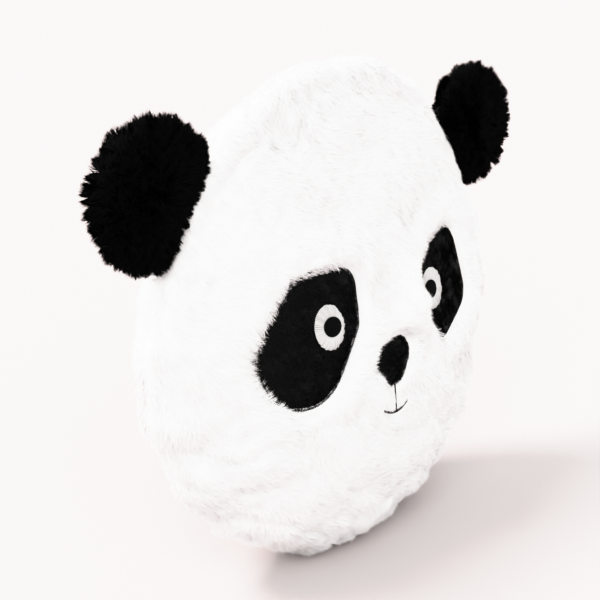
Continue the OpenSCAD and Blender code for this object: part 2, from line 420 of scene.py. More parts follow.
def grow_fur(name, roots, normals, comb, length, lean, half_width, material, seed, uneven=0.2):
    """Mesh of flat tapered strands that rise from just under the skin and lie over along comb.

    length and lean, the angle from upright, may be one for all or one for each; uneven is how much lengths
    differ. The UV map gives every strand a cell of its own, so that each keeps its own shade in a texture.
    """
    rng = np.random.default_rng(seed)
    count = len(roots)
    along = unit(comb - dots(comb, normals) * normals)
    across = unit(np.cross(along, normals))
    spin = rng.normal(scale=0.5, size=(count, 1))
    blade = unit(across * np.cos(spin) + normals * np.sin(spin))
    length = (length * rng.uniform(1 - 1.3 * uneven, 1 + 0.6 * uneven, size=count))[:, None]
    lean = np.asarray(lean).reshape(-1, 1) + rng.normal(scale=0.12, size=(count, 1))
    rise, reach = length * np.cos(lean), length * np.sin(lean)
    half = half_width * rng.uniform(0.7, 1.25, size=(count, 1))
    under_skin = 0.001
    base = roots - under_skin * normals
    middle = roots + 0.6 * rise * normals + 0.4 * reach * along
    tip = roots + rise * normals + reach * along
    points = np.stack([base - half * blade, base + half * blade, middle - 0.85 * half * blade,
                       middle + 0.85 * half * blade, tip], axis=1)
    points[..., 2] = np.maximum(points[..., 2], OVER_FLOOR)

    mesh = bpy.data.meshes.new(name)
    mesh.vertices.add(5 * count)
    mesh.vertices.foreach_set("co", points.ravel())
    pattern = np.array([0, 1, 3, 2, 2, 3, 4])
    firsts = 5 * np.arange(count)[:, None]
    mesh.loops.add(7 * count)
    mesh.loops.foreach_set("vertex_index", (firsts + pattern).ravel())
    mesh.polygons.add(2 * count)
    mesh.polygons.foreach_set("loop_start", (7 * np.arange(count)[:, None] + (0, 4)).ravel())
    mesh.update(calc_edges=True)

    heights = np.array([0, 0, 0.5, 0.5, 1.0])
    sides = np.array([0, 1, 0, 1, 0.5])
    own = rng.uniform(size=(count, 1))
    # Colour value: a random tone per strand, which is the fur's own, plus a rise from root to tip that is
    # painted shade deep in the pile, darkest at the roots.
    shade = mesh.attributes.new("shade", "FLOAT", "POINT")
    shade.data.foreach_set("value", (0.55 * own + 0.45 * heights).ravel())
    columns = math.ceil(math.sqrt(count))
    cell = np.stack([np.arange(count) % columns, np.arange(count) // columns], axis=-1)[:, None, :]
    inside = 0.15 + 0.7 * np.stack([sides, heights], axis=-1)[pattern]
    mesh.uv_layers.new(name="OFBake").data.foreach_set("uv", ((cell + inside) / columns).ravel())

    shading = unit(normals + 0.12 * along * rng.normal(size=(count, 1)) + 0.10 * rng.normal(size=(count, 3)))
    mesh.shade_smooth()
    mesh.normals_split_custom_set_from_vertices(np.repeat(shading, 5, axis=0).tolist())
    obj = bpy.data.objects.new(name, mesh)
    bpy.context.collection.objects.link(obj)
    mesh.materials.append(material)
    return obj


# ---- Materials ----

def new_material(name, roughness, specular=0.3, sheen=0.0):
    """Material with a Principled shader, and its nodes by short names."""
    material = bpy.data.materials.new(name)
    material.use_nodes = True
    shader = material.node_tree.nodes["Principled BSDF"]
    shader.inputs["Roughness"].default_value = roughness
    shader.inputs["Specular IOR Level"].default_value = specular
    shader.inputs["Sheen Weight"].default_value = sheen
    return material, material.node_tree.nodes, material.node_tree.links, shader


def fur_material(name, root, tip, roughness=0.85, specular=0.1, sheen=0.0):
    """Strands that go from the root colour to the tip colour, each in its own shade."""
    material, nodes, links, shader = new_material(name, roughness, specular, sheen)
    shade = nodes.new("ShaderNodeAttribute")
    shade.attribute_name = "shade"
    ramp = nodes.new("ShaderNodeValToRGB")
    ramp.color_ramp.elements[0].color = (*root, 1)
    ramp.color_ramp.elements[1].color = (*tip, 1)
    links.new(shade.outputs["Fac"], ramp.inputs["Fac"])
    links.new(ramp.outputs["Color"], shader.inputs["Base Color"])
    return material


def cloth_material(name, dark, light, scale, roughness=0.9, specular=0.1, bump_depth=0.0):
    """Fabric or thread whose colour drifts between two shades, with a fine raised grain."""
    material, nodes, links, shader = new_material(name, roughness, specular)
    place = nodes.new("ShaderNodeTexCoord")
    grain = nodes.new("ShaderNodeTexNoise")
    grain.inputs["Scale"].default_value = scale
    grain.inputs["Detail"].default_value = 4
    ramp = nodes.new("ShaderNodeValToRGB")
    ramp.color_ramp.elements[0].position = 0.3
    ramp.color_ramp.elements[0].color = (*dark, 1)
    ramp.color_ramp.elements[1].position = 0.7
    ramp.color_ramp.elements[1].color = (*light, 1)
    links.new(place.outputs["Object"], grain.inputs["Vector"])
    links.new(grain.outputs["Fac"], ramp.inputs["Fac"])
    links.new(ramp.outputs["Color"], shader.inputs["Base Color"])
    if bump_depth:
        raised = nodes.new("ShaderNodeBump")
        raised.inputs["Distance"].default_value = bump_depth
        links.new(grain.outputs["Fac"], raised.inputs["Height"])
        links.new(raised.outputs["Normal"], shader.inputs["Normal"])
    return material


# Each fur's root colour is darker than its tip colour: partly painted shade deep in the pile, partly the
# strands' own differing tone.
WHITE_FUR = fur_material("white fur", (0.93, 0.925, 0.92), (0.985, 0.98, 0.975))
BLACK_FUR = fur_material(
    "long black fur", (0.0006, 0.0006, 0.0006), (0.003, 0.003, 0.003), roughness=0.9, specular=0.04)
BLACK_PLUSH = fur_material(
    "trimmed black plush", (0.0015, 0.0015, 0.0015), (0.01, 0.01, 0.01),
    roughness=0.8, specular=0.08, sheen=0.09)
WHITE_BACKING = cloth_material("white backing", (0.92, 0.91, 0.90), (0.97, 0.965, 0.96), 500)
BLACK_BACKING = cloth_material("black backing", (0.002, 0.002, 0.002), (0.006, 0.006, 0.006), 500)
FIBRE = cloth_material("polyester fibre", (0.8, 0.8, 0.78), (0.93, 0.93, 0.91), 120)
WHITE_THREAD = cloth_material("white thread", (0.8, 0.8, 0.79), (0.93, 0.93, 0.92), 900, roughness=0.6)
# Its dark colour is painted shade in the gaps between stitches; the light colour is the thread's own white.
SATIN_THREAD = fur_material(
    "satin white thread", (0.08, 0.08, 0.08), (0.50, 0.50, 0.49), roughness=0.45, specular=0.3)
BLACK_THREAD = cloth_material(
    "black thread", (0.002, 0.002, 0.002), (0.006, 0.006, 0.0065), 900, roughness=0.75, specular=0.05)
PUPIL_THREAD = cloth_material(
    "black satin thread", (0.001, 0.001, 0.001), (0.003, 0.003, 0.003), 900, roughness=0.75, specular=0.04)
LABEL_CLOTH = cloth_material(
    "label cloth", (0.8, 0.8, 0.78), (0.9, 0.9, 0.88), 1500, roughness=0.6, specular=0.3, bump_depth=0.0001)


# ---- Head skin ----

def closed_head(inset):
    """Points and faces of both panels as one closed form."""
    rings, spokes = 24, 120
    turns = np.linspace(0, 2 * math.pi, spokes, endpoint=False)
    points = []
    for side in (FACE, BACK):
        points.append(panel_points(side, 0.0, 0.0, inset))
        for ring in range(1, rings + (side == FACE)):
            points.extend(panel_points(side, math.sin(math.pi / 2 * ring / rings), turns, inset))
    return np.array(points), closed_faces(rings, spokes)


def by_an_ear(points):
    """1 in the direction of an ear's middle from the rim's middle, falling to 0 past the ear's ends."""
    turn = turn_and_share(np.abs(points[:, 0]), points[:, 2] - RIM_HEIGHT)[0]
    ear_reach = 0.042
    return bump((turn - EAR_ANGLE) * HEAD_W / 2, ear_reach)


def rim_folds(points, drift, low):
    """Gathers along the rim seam, and the shallow groove beside it, deepest on the right of the face."""
    x, up = points[:, 0], points[:, 2] - RIM_HEIGHT
    turn, share = turn_and_share(x, up)
    in_from_rim = inside_rim(share)
    gathers = np.sin(turn * 26 + 1.5 * drift[:, 0]) + 0.6 * np.sin(turn * 43 + 1.2 * drift[:, 1])
    gather_height, gather_reach = 0.0004 + 0.0006 * low, 0.014
    height = gather_height * gathers * np.exp(-in_from_rim / gather_reach)
    groove_depth, groove_in, groove_width = 0.0022, 0.016, 0.005
    on_right = 0.25 + 0.75 * smooth_step(-0.02, 0.08, x)
    on_back = 0.4
    groove = bump(in_from_rim - groove_in - 0.003 * drift[:, 2], groove_width)
    return height - groove_depth * groove * np.where(points[:, 1] < RIM_Y, on_right, on_back)


def face_folds(points):
    """Dents under the trims and by the ears, the ridge of the nose and the crease across the right cheek."""
    x, up = points[:, 0], points[:, 2] - RIM_HEIGHT
    in_from_rim = inside_rim(turn_and_share(x, up)[1])
    height = np.zeros(len(points))
    patch_swell, swell_out, swell_width = 0.0015, 0.014, 0.008
    for side in (LEFT, RIGHT):
        away = patch_distance(side, x, up)[0]
        height -= PATCH_SUNK * (1 - smooth_step(-0.002, 0.005, away))
        height += patch_swell * bump(away - swell_out, swell_width)
    from_nose = nose_distance(x, up)[0]
    height -= NOSE_SUNK * (1 - smooth_step(-0.001, 0.006, from_nose))
    nose_gap = 0.004
    from_trims = np.minimum(from_nose - nose_gap, patch_distance(RIGHT, x, up)[0])
    beside_trims = smooth_step(-0.002, 0.006, from_trims)
    ridge_height, ridge_x, ridge_up = 0.0115, 0.022, 0.008
    height += ridge_height * bump(x - ridge_x, 0.012) * bump(up - ridge_up, 0.031) * beside_trims
    muzzle_height, muzzle_width = 0.0015, 0.028
    height += muzzle_height * bump(np.hypot(x - NOSE_X, up - NOSE_UP), muzzle_width)
    ear_dent, ear_dent_in, ear_dent_width = 0.004, 0.012, 0.020
    height -= ear_dent * by_an_ear(points) * bump(in_from_rim - ear_dent_in, ear_dent_width)
    crease_depth, crease_width = 0.008, 0.010
    height -= crease_depth * bump(up - CREASE_UP, crease_width) * smooth_step(0.10, 0.15, x)
    return height


def relief(points):
    """Height of the fabric's folds and dents over the smooth form, at points of the head's skin."""
    x, up = points[:, 0], points[:, 2] - RIM_HEIGHT
    on_face = points[:, 1] < RIM_Y
    drift = ripple(points, 0.09, 3)
    low = smooth_step(0.02, -0.09, up)
    height = rim_folds(points, drift, low) + on_face * face_folds(points)
    lump_height, lump_size = 0.0012, 0.05
    height += lump_height * ripple(points, lump_size, 5)[:, 0]
    sag_depth, sag_spacing = 0.0011, 0.034
    sag_line = np.sin((up + 0.25 * x + 0.012 * drift[:, 0]) * 2 * math.pi / sag_spacing)
    height -= sag_depth * low * bump(sag_line - 1, 0.5)
    hip_height, hip_up, hip_in = 0.008, -0.02, 0.025
    in_from_rim = inside_rim(turn_and_share(x, up)[1])
    height += ~on_face * (x < 0) * hip_height * bump(up - hip_up, 0.07) * bump(in_from_rim - hip_in, 0.03)
    return height


def settle(points):
    """Draws the rim in as the filling rounds the panels, and lets the back slump forwards over the base."""
    x, up = points[:, 0], points[:, 2] - RIM_HEIGHT
    turn, share = turn_and_share(x, up)
    drawn_all_round, more_at_sides = 0.0012, 0.0042
    drawn = drawn_all_round + more_at_sides * np.cos(turn) ** 2
    drawn *= smooth_step(0.05, 0.004, inside_rim(share))
    points[:, 0] -= drawn * np.cos(turn)
    points[:, 2] -= drawn * np.sin(turn)
    slump = 0.014
    on_back = smooth_step(RIM_Y, RIM_Y + 0.02, points[:, 1])
    points[:, 1] -= slump * on_back * smooth_step(-0.03, -0.15, up) * smooth_step(0.05, -0.08, x)


def held_head(points):
    """How firmly the points of the head's skin are held: along the rim, round the trims and at the base."""
    x, up = points[:, 0], points[:, 2] - RIM_HEIGHT
    on_face = points[:, 1] < RIM_Y
    held = bump(inside_rim(turn_and_share(x, up)[1]), 0.006)
    for side in (LEFT, RIGHT):
        held = np.maximum(held, on_face * bump(np.maximum(patch_distance(side, x, up)[0], 0), 0.004))
    held = np.maximum(held, on_face * bump(np.maximum(nose_distance(x, up)[0], 0), 0.003))
    return np.maximum(held, bump(points[:, 2], 0.004))


def head_skin():
    """Backing of both white panels: pressed out by the filling, then folded and settled."""
    points, faces = closed_head(-SKIN_LIFT)
    obj = shown_as("head_skin", points, faces, WHITE_BACKING)
    remeshed(obj, HEAD_VOXEL)
    press_out(obj, held_head(vertex_array(obj.data)), slack=0.03, cap=HEAD_MOVE_CAP)
    at = vertex_array(obj.data)
    at += vertex_array(obj.data, "normal") * relief(at)[:, None]
    settle(at)
    at[:, 2] = np.maximum(at[:, 2], BASE_FLAT)
    set_vertices(obj.data, at)
    set_material(obj, WHITE_BACKING)
    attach(obj, "head")
    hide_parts("face_panel", "back_panel")
    return obj


# ---- White fur ----

def away_from_trims(points):
    """How far each point of the face is from a patch or the nose, and the direction away from it."""
    x, up = points[:, 0], points[:, 2] - RIM_HEIGHT
    near, away = nose_distance(x, up)
    for side in (LEFT, RIGHT):
        distance, direction = patch_distance(side, x, up)
        closer = distance < near
        near = np.where(closer, distance, near)
        away = np.where(closer[:, None], direction, away)
    far_off = 1.0
    near = np.where(points[:, 1] < RIM_Y, near, far_off)
    return near, np.stack([away[:, 0], np.zeros(len(x)), away[:, 1]], axis=-1)


def parted(away):
    """1 where the nap leads away from a patch or the nose, 0 where it leads over its edge."""
    return smooth_step(-0.5, 0.3, away @ unit(NAP))


def head_comb(points):
    """Direction that the white fur lies in: along the nap, in drifting locks."""
    near, away = away_from_trims(points)
    locks = np.zeros_like(points)
    for strength, size, seed in ((0.34, 0.08, 11), (0.2, 0.024, 12), (0.14, 0.005, 13)):
        locks += strength * ripple(points, size, seed)
    stray = 0.22 * np.random.default_rng(14).normal(size=points.shape)
    push = 0.9 * parted(away) * (1 - smooth_step(0.001, 0.01, near))
    return NAP + locks + stray + push[:, None] * away


BROW_HEIGHT = RIM_HEIGHT + 0.045
FUR_REGIONS = {
    "face_fur_brow": lambda p: (p[:, 1] < RIM_Y) & (p[:, 2] > BROW_HEIGHT),
    "face_fur_left": lambda p: (p[:, 1] < RIM_Y) & (p[:, 2] <= BROW_HEIGHT) & (p[:, 0] < 0),
    "face_fur_right": lambda p: (p[:, 1] < RIM_Y) & (p[:, 2] <= BROW_HEIGHT) & (p[:, 0] >= 0),
    "back_fur_upper": lambda p: (p[:, 1] >= RIM_Y) & (p[:, 2] > RIM_HEIGHT),
    "back_fur_lower": lambda p: (p[:, 1] >= RIM_Y) & (p[:, 2] <= RIM_HEIGHT),
}


def white_fur(skin):
    """Grows the head's fur, thin where it stands on the floor, bare under the trims and the label."""
    for number, (name, inside) in enumerate(FUR_REGIONS.items()):
        def keep(p):
            bare_edge, least = 0.0004, 0.15
            near = away_from_trims(p)[0]
            standing = smooth_step(0.002, 0.006, p[:, 2])
            return inside(p) * (near > bare_edge) * (least + (1 - least) * standing) * ~under_label(p)

        roots, normals = scatter(skin.data, FUR_STRANDS, keep, 20 + number)
        up = roots[:, 2] - RIM_HEIGHT
        on_face = roots[:, 1] < RIM_Y
        near, away = away_from_trims(roots)
        by_edge = 1 - smooth_step(0, 0.007, near)
        off_mouth = smooth_step(0.0012, 0.006, mouth_distance(roots[:, 0], up))
        off_mouth = np.where(on_face, off_mouth, 1)
        short = (1 - 0.45 * by_edge * parted(away)) * (0.35 + 0.65 * off_mouth)
        short = short * (1 - 0.4 * by_an_ear(roots) * on_face)
        length = FUR_LENGTH * short * (1 + 0.08 * ripple(roots, 0.02, 31)[:, 0])
        lean = 1.1 + 0.08 * ripple(roots, 0.012, 32)[:, 0]
        half_width = FUR_HALF_WIDTH[FACE if on_face[0] else BACK]
        by_nose = nose_distance(roots[:, 0], up)[0] <= near
        sunk = PATCH_SUNK * (1 - smooth_step(-0.002, 0.005, near)) * ~by_nose
        raised = 0.7
        roots += normals * (raised * sunk)[:, None]
        comb = head_comb(roots)
        obj = grow_fur(name, roots, normals, comb, length, lean, half_width, WHITE_FUR, 40 + number)
        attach(obj, "head")


# ---- Ears ----

def ear_frame(side):
    """Middle of an ear's disc and its directions: along the rim, to the back and outwards."""
    outwards = Vector((side * math.cos(EAR_ANGLE), 0, math.sin(EAR_ANGLE)))
    at = rim_point(EAR_ANGLE)
    middle = Vector((side * at.x, RIM_Y, RIM_HEIGHT + at.z)) + outwards * EAR_OUT
    along = Vector((0, 1, 0)).cross(outwards)
    return np.array(middle), np.array(along), np.array((0.0, 1.0, 0.0)), np.array(outwards)


def bend_with_ear(obj):
    """Bakes the piece's placing into its mesh; it is not bent or moved with the ear."""
    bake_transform(obj)


def ear_root_line(u):
    """How far out from the ear's middle its root is, at u along the rim, which the root follows."""
    rim_curve = 1 / HEAD_W
    return -EAR_OUT - rim_curve * u**2


def ear_form(rings, spokes):
    """Points of an ear in its own directions: a thin closed disc, flattened and cut off at its root."""
    radius, half = EAR_R - EAR_SKIN_IN, EAR_HALF - EAR_SKIN_IN
    root_half, root_reach = 0.0018, 0.016
    local = []
    for face in (FACE, BACK):
        local.append((0, face * half, 0))
        for ring in range(1, rings + (face == FACE)):
            share = math.sin(math.pi / 2 * ring / rings)
            for k in range(spokes):
                turn = 2 * math.pi * k / spokes
                u = radius * share * math.cos(turn)
                v = radius * share * math.sin(turn)
                root = ear_root_line(u)
                w = face * half * math.sqrt(1 - share**2)
                w = w * min(1, max(0, (v - root) / root_reach)) + face * root_half * (v < root + root_reach)
                local.append((u, w, max(v, root)))
    return np.array(local, float)


def ear_skin(side):
    """Backing of an ear, pressed out by its filling and held round its edge and along its root."""
    middle, along, backwards, outwards = ear_frame(side)
    directions = np.stack([along, backwards, outwards])
    rings, spokes = 12, 72
    points = middle + ear_form(rings, spokes) @ directions
    faces = closed_faces(rings, spokes)
    obj = shown_as(f"ear_skin_{SIDE_NAMES[side]}", points, faces, BLACK_BACKING)
    remeshed(obj, EAR_VOXEL)
    at = (vertex_array(obj.data) - middle) @ directions.T
    from_edge = np.hypot(at[:, 0], at[:, 2]) - EAR_R + EAR_SKIN_IN
    held = np.maximum(bump(from_edge, 0.003), bump(at[:, 2] - ear_root_line(at[:, 0]), 0.005))
    press_out(obj, held, slack=0.04, cap=EAR_MOVE_CAP)
    set_material(obj, BLACK_BACKING)
    bend_with_ear(obj)
    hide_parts(f"ear_front_{SIDE_NAMES[side]}", f"ear_back_{SIDE_NAMES[side]}")
    return obj


def ear_fur(side, skin):
    """Long black fur that stands out all round an ear and gathers in tufts."""
    middle, along, backwards, outwards = ear_frame(side)
    tuft_size = 0.0065
    for number, (half, face) in enumerate((("front", FACE), ("back", BACK))):
        def keep(p):
            return (p[:, 1] - middle[1]) * face >= 0

        seed = number + 2 * (side + 1)
        roots, normals = scatter(skin.data, EAR_STRANDS, keep, 60 + seed)
        offset = roots - middle
        spread = unit(offset - dots(offset, backwards) * backwards)
        inwards, own = tufts(roots, tuft_size, 75 + side)
        comb = spread + 0.2 * ripple(roots, 0.03, 71) + 0.3 * ripple(roots, 0.007, 72) + 1.3 * inwards
        height = offset @ outwards + EAR_OUT
        length = EAR_FUR_LENGTH * (0.75 + 0.25 * smooth_step(0.002, 0.02, height))
        length = length * (0.84 + 0.4 * own)
        lean = 0.85 - 0.4 * own
        obj = grow_fur(f"ear_fur_{half}_{SIDE_NAMES[side]}", roots, normals, comb, length, lean,
                       EAR_FUR_HALF_WIDTH, BLACK_FUR, 80 + seed, uneven=0.08)
        bend_with_ear(obj)


# ---- Eye patches ----

def facing_front(obj):
    """The open sheet with its normals towards the front."""
    if obj.data.polygons[0].normal.y > 0:
        obj.data.flip_normals()
    return obj


def pad_grid(name, outline, middle, rings, lift, material):
    """Open crowned sheet over the face inside an outline.

    lift(share) is its height over the CAD's surface, at a share of the way from its middle to the outline.
    """
    count = len(outline)
    points = [face_points(FACE, *middle, lift(0.0))]
    for ring in range(1, rings + 1):
        share = ring / rings
        at = middle + share * (outline - middle)
        points.extend(face_points(FACE, at[:, 0], at[:, 1], lift(share)))
    faces = []
    for k in range(count):
        after = (k + 1) % count
        faces.append((0, 1 + k, 1 + after))
        for ring in range(rings - 1):
            inner = 1 + ring * count
            outer = inner + count
            faces.append((inner + k, outer + k, outer + after, inner + after))
    return facing_front(shown_as(name, np.array(points), faces, material))


def plush_over(name, pad, count, keep, past_edge, seed):
    """Short black pile on a pad; past_edge(points) is 1 where it hangs over the pad's edge along its nap."""
    tuft_size = 0.0035
    roots, normals = scatter(pad.data, count, keep, seed)
    inwards, own = tufts(roots, tuft_size, seed)
    comb = PLUSH_NAP + 0.4 * ripple(roots, 0.02, 92) + 0.3 * ripple(roots, 0.005, 93) + 0.7 * inwards
    over = past_edge(roots)
    length = PLUSH_LENGTH * (1 + (0.6 + 2.0 * own) * over)
    lean = 0.75 + 0.4 * over
    fur = grow_fur(name, roots, normals, comb, length, lean, PLUSH_HALF_WIDTH, BLACK_PLUSH, seed + 1)
    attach(fur, "head")


def eye_patch(side):
    """A patch's backing, its plush, which leaves the eye bare, its stitches and the eye on it."""
    name = SIDE_NAMES[side]
    middle = np.mean(PATCH_CIRCLES[side], axis=0)[:2] * (side, 1)
    edge_drop = 0.003

    def lift(share):
        return -edge_drop * share**8

    pad = pad_grid(f"eye_patch_{name}", patch_outline(side), middle, 14, lift, BLACK_BACKING)
    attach(pad, "head")
    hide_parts(f"eye_patch_{name}")

    def keep(p):
        bare = 0.96
        offset = np.stack([p[:, 0] - side * EYE_X, p[:, 2] - RIM_HEIGHT - EYE_UP], axis=-1)
        return np.linalg.norm(offset / EYE_R, axis=-1) > bare

    def past_edge(p):
        distance, away = patch_distance(side, p[:, 0], p[:, 2] - RIM_HEIGHT)
        return smooth_step(-0.004, 0, distance) * np.maximum(0, away @ PLUSH_NAP[[0, 2]])

    plush_over(f"eye_patch_plush_{name}", pad, PATCH_STRANDS, keep, past_edge, 90 + 2 * side)
    whipped_edge(side)
    eye_white(side)
    pupil(side)


def threads(name, starts, ends, rise, radius, material, out=(0.0, -1.0, 0.0)):
    """Mesh of separate stitches, each a rounded thread that rises off the cloth between its two ends.

    out is the direction away from the cloth, one for all the stitches or one for each.
    """
    steps, sides = 6, 6
    starts, ends = np.asarray(starts, float), np.asarray(ends, float)
    along = unit(ends - starts)
    out = unit(out - dots(np.broadcast_to(out, along.shape), along) * along)
    across = np.cross(along, out)
    points = []
    for step in range(steps + 1):
        share = step / steps
        arch = math.sin(math.pi * share)
        middle = starts + (ends - starts) * share + out * rise * arch
        r = radius * (0.25 + 0.75 * math.sqrt(arch))
        for k in range(sides):
            turn = 2 * math.pi * k / sides
            points.append(middle + r * (math.cos(turn) * across + math.sin(turn) * out))
    points = np.stack(points, axis=1)
    count = len(starts)
    size = points.shape[1]
    faces = []
    for first in range(0, count * size, size):
        for step in range(steps):
            for k in range(sides):
                a = first + step * sides + k
                b = first + step * sides + (k + 1) % sides
                faces.append((a, b, b + sides, a + sides))
        faces.append(tuple(first + k for k in range(sides))[::-1])
        faces.append(tuple(first + steps * sides + k for k in range(sides)))
    return shown_as(name, points.reshape(-1, 3), faces, material)


def whipped_edge(side):
    """Satin stitches side by side along a line just inside the patch's edge, slanting across it."""
    name = SIDE_NAMES[side]
    count = 220
    lift, rise, radius = 0.0003, 0.0004, 0.0004
    rows = []
    for inset, shift in ((0.0020, 0.0), (0.0036, 0.8)):
        outline = patch_outline(side, inset)
        closed = np.vstack([outline, outline[:1]])
        steps = np.concatenate([[0], np.cumsum(np.linalg.norm(np.diff(closed, axis=0), axis=1))])
        places = ((np.arange(count) + shift) / count) * steps[-1]
        x = np.interp(places, steps, closed[:, 0])
        up = np.interp(places, steps, closed[:, 1])
        rows.append(face_points(FACE, x, up, lift))
    obj = threads(f"patch_stitches_{name}", rows[0], rows[1], rise, radius, BLACK_THREAD)
    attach(obj, "head")
    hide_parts(f"patch_stitches_{name}")


def ring_mesh(name, rows, material):
    """Mesh of quads between closed rows of points, towards the front."""
    count = len(rows[0])
    faces = []
    for row in range(len(rows) - 1):
        for k in range(count):
            a, b = row * count + k, row * count + (k + 1) % count
            faces.append((a, a + count, b + count, b))
    return facing_front(shown_as(name, np.concatenate(rows), faces, material))


def set_shade(obj, shade):
    """Sets where each vertex stands between the two colours of its fur material."""
    obj.data.attributes.new("shade", "FLOAT", "POINT").data.foreach_set("value", np.ravel(shade))


def eye_white(side):
    """Ring of radial satin stitches round the pupil, highest half way across, with uneven outer ends. Painted
    shade darkens the gaps between stitches.
    """
    name = SIDE_NAMES[side]
    stitches, per_stitch, rings = 60, 6, 10
    rng = np.random.default_rng(110 + side)
    count = stitches * per_stitch
    turns = np.linspace(0, 2 * math.pi, count, endpoint=False)
    around = circle(turns)
    across = np.sin(math.pi * (np.arange(count) % per_stitch) / per_stitch)
    own = np.repeat(rng.uniform(size=stitches), per_stitch)
    eye = np.array((side * EYE_X, EYE_UP))
    inner = eye - (side * PUPIL_IN, 0) + 0.95 * PUPIL_R * around
    outer = eye + (EYE_R + (0.0007 * own - 0.0004)[:, None]) * around
    lift, crown_height = 0.0008, 0.0013
    rows, shade = [], []
    for ring in range(rings + 1):
        share = ring / rings
        at = inner + share * (outer - inner)
        crown = crown_height * math.sqrt(math.sin(math.pi * (0.04 + 0.92 * share)))
        flute = (0.0002 + 0.0006 * own) * across * (0.3 + 0.7 * share)
        rows.append(face_points(FACE, at[:, 0], at[:, 1], lift + crown + flute))
        # Painted shade: darker in the gaps between stitches, more where a stitch's flutes are deep and
        # towards the outer edge.
        shade.append(1 - (1 - across) * (0.25 + 0.75 * own) * (0.35 + 0.65 * share))
    obj = ring_mesh(f"eye_white_{name}", rows, SATIN_THREAD)
    set_shade(obj, shade)
    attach(obj, "head")
    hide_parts(f"eye_white_{name}")


def pupil(side):
    """Dome of upright satin stitches."""
    name = SIDE_NAMES[side]
    middle = np.array((side * (EYE_X - PUPIL_IN), EYE_UP))
    pitch, rings = 0.0007, 12
    lift, dome_height, flute_height = 0.0018, 0.0011, 0.00015
    around = circle(np.linspace(0, 2 * math.pi, 64, endpoint=False))
    rows = []
    for ring in range(rings + 1):
        share = max(ring, 0.01) / rings
        at = middle + share * PUPIL_R * around
        flute = flute_height * np.abs(np.cos(math.pi * at[:, 0] / pitch))
        dome = dome_height * math.sqrt(1 - 0.96 * share**2)
        rows.append(face_points(FACE, at[:, 0], at[:, 1], lift + dome + flute))
    obj = ring_mesh(f"pupil_{name}", rows, PUPIL_THREAD)
    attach(obj, "head")
    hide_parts(f"pupil_{name}")


def nose():
    """The padded nose and its plush, which hangs over its edge to the left and below."""
    turns = np.linspace(0, 2 * math.pi, 72, endpoint=False)
    middle = np.array((NOSE_X, NOSE_UP))
    outline = middle + nose_radius(turns)[:, None] * (circle(turns) * (1, NOSE_FLAT))
    crown, edge_drop = 0.0036, 0.004

    def lift(share):
        return crown - edge_drop * share**4

    pad = pad_grid("nose", outline, middle, 10, lift, BLACK_BACKING)
    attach(pad, "head")
    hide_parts("nose")

    def past_edge(p):
        distance, away = nose_distance(p[:, 0], p[:, 2] - RIM_HEIGHT)
        return smooth_step(-0.003, 0, distance) * np.maximum(0, away @ (-0.8, -0.5))

    def keep(p):
        return np.ones(len(p))

    plush_over("nose_plush", pad, NOSE_STRANDS, keep, past_edge, 97)


def mouth():
    """Cross stitches down the stem and upright satin stitches along the smile."""
    starts, ends = [], []
    lift, rise, radius = 0.0026, 0.0006, 0.00042
    top = NOSE_UP - 0.95 * NOSE_R * NOSE_FLAT
    crosses, half = 8, 0.0006
    pitch = (top - MOUTH_UP) / crosses
    for k in range(crosses):
        high = top - k * pitch
        for direction in (-1, 1):
            starts.append(face_points(FACE, MOUTH_X + direction * half, high, lift))
            ends.append(face_points(FACE, MOUTH_X - direction * half, high - 1.1 * pitch, lift))
    satin, satin_half, slant = 24, 0.0011, 0.0002
    for k in range(satin):
        x = MOUTH_X + MOUTH_HALF * (2 * k / (satin - 1) - 1)
        starts.append(face_points(FACE, x - slant, smile_up(x) + satin_half, lift))
        ends.append(face_points(FACE, x + slant, smile_up(x) - satin_half, lift))
    obj = threads("mouth_stitches", starts, ends, rise, radius, BLACK_THREAD)
    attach(obj, "head")
    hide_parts("mouth_stitches")


# ---- Label and closing seam ----

def on_skin(tree, origins, directions):
    """Where rays first meet the skin, and the skin's normals there."""
    hits = [tree.ray_cast(Vector(start), Vector(way)) for start, way in zip(origins, directions)]
    return np.array([hit[0] for hit in hits]), np.array([hit[1] for hit in hits])


def label_frame():
    """Middle of the label's sewn end, and the directions out to the rim and along it, in X and up."""
    root = rim_point(LABEL_TURN) * LABEL_ROOT
    out = np.array((math.cos(LABEL_TURN), math.sin(LABEL_TURN)))
    return np.array((root.x, root.z)), out, np.array((-out[1], out[0]))


def label_place(along, across):
    """Points of the label's rectangle in X and up, along from its sewn end and across from its middle."""
    root, out, turned = label_frame()
    return root - np.multiply.outer(along, out) + np.multiply.outer(across, turned)


def under_label(points):
    """Whether each point is under the label, whose free end lies on the fur."""
    root, out, turned = label_frame()
    free_end = 0.002
    offset = np.stack([points[:, 0] - root[0], points[:, 2] - RIM_HEIGHT - root[1]], axis=-1)
    along, across = -offset @ out, offset @ turned
    inside = (np.abs(across) < LABEL_W / 2) & (along > 0) & (along < LABEL_L - free_end)
    return inside & (points[:, 1] > RIM_Y)


def strip_faces(steps, columns):
    """Faces of a thin closed sheet, from a grid of points for its top and then one for its underside."""
    row, layer = columns + 1, (steps + 1) * (columns + 1)
    faces = []
    for i in range(steps):
        for j in range(columns):
            a = i * row + j
            faces.append((a, a + 1, a + row + 1, a + row))
            faces.append((layer + a, layer + a + row, layer + a + row + 1, layer + a + 1))
    edge = list(range(columns))
    edge += [i * row + columns for i in range(steps)]
    edge += [steps * row + j for j in range(columns, 0, -1)]
    edge += [i * row for i in range(steps, 0, -1)]
    for a, b in zip(edge, edge[1:] + edge[:1]):
        faces.append((a, layer + a, layer + b, b))
    return faces


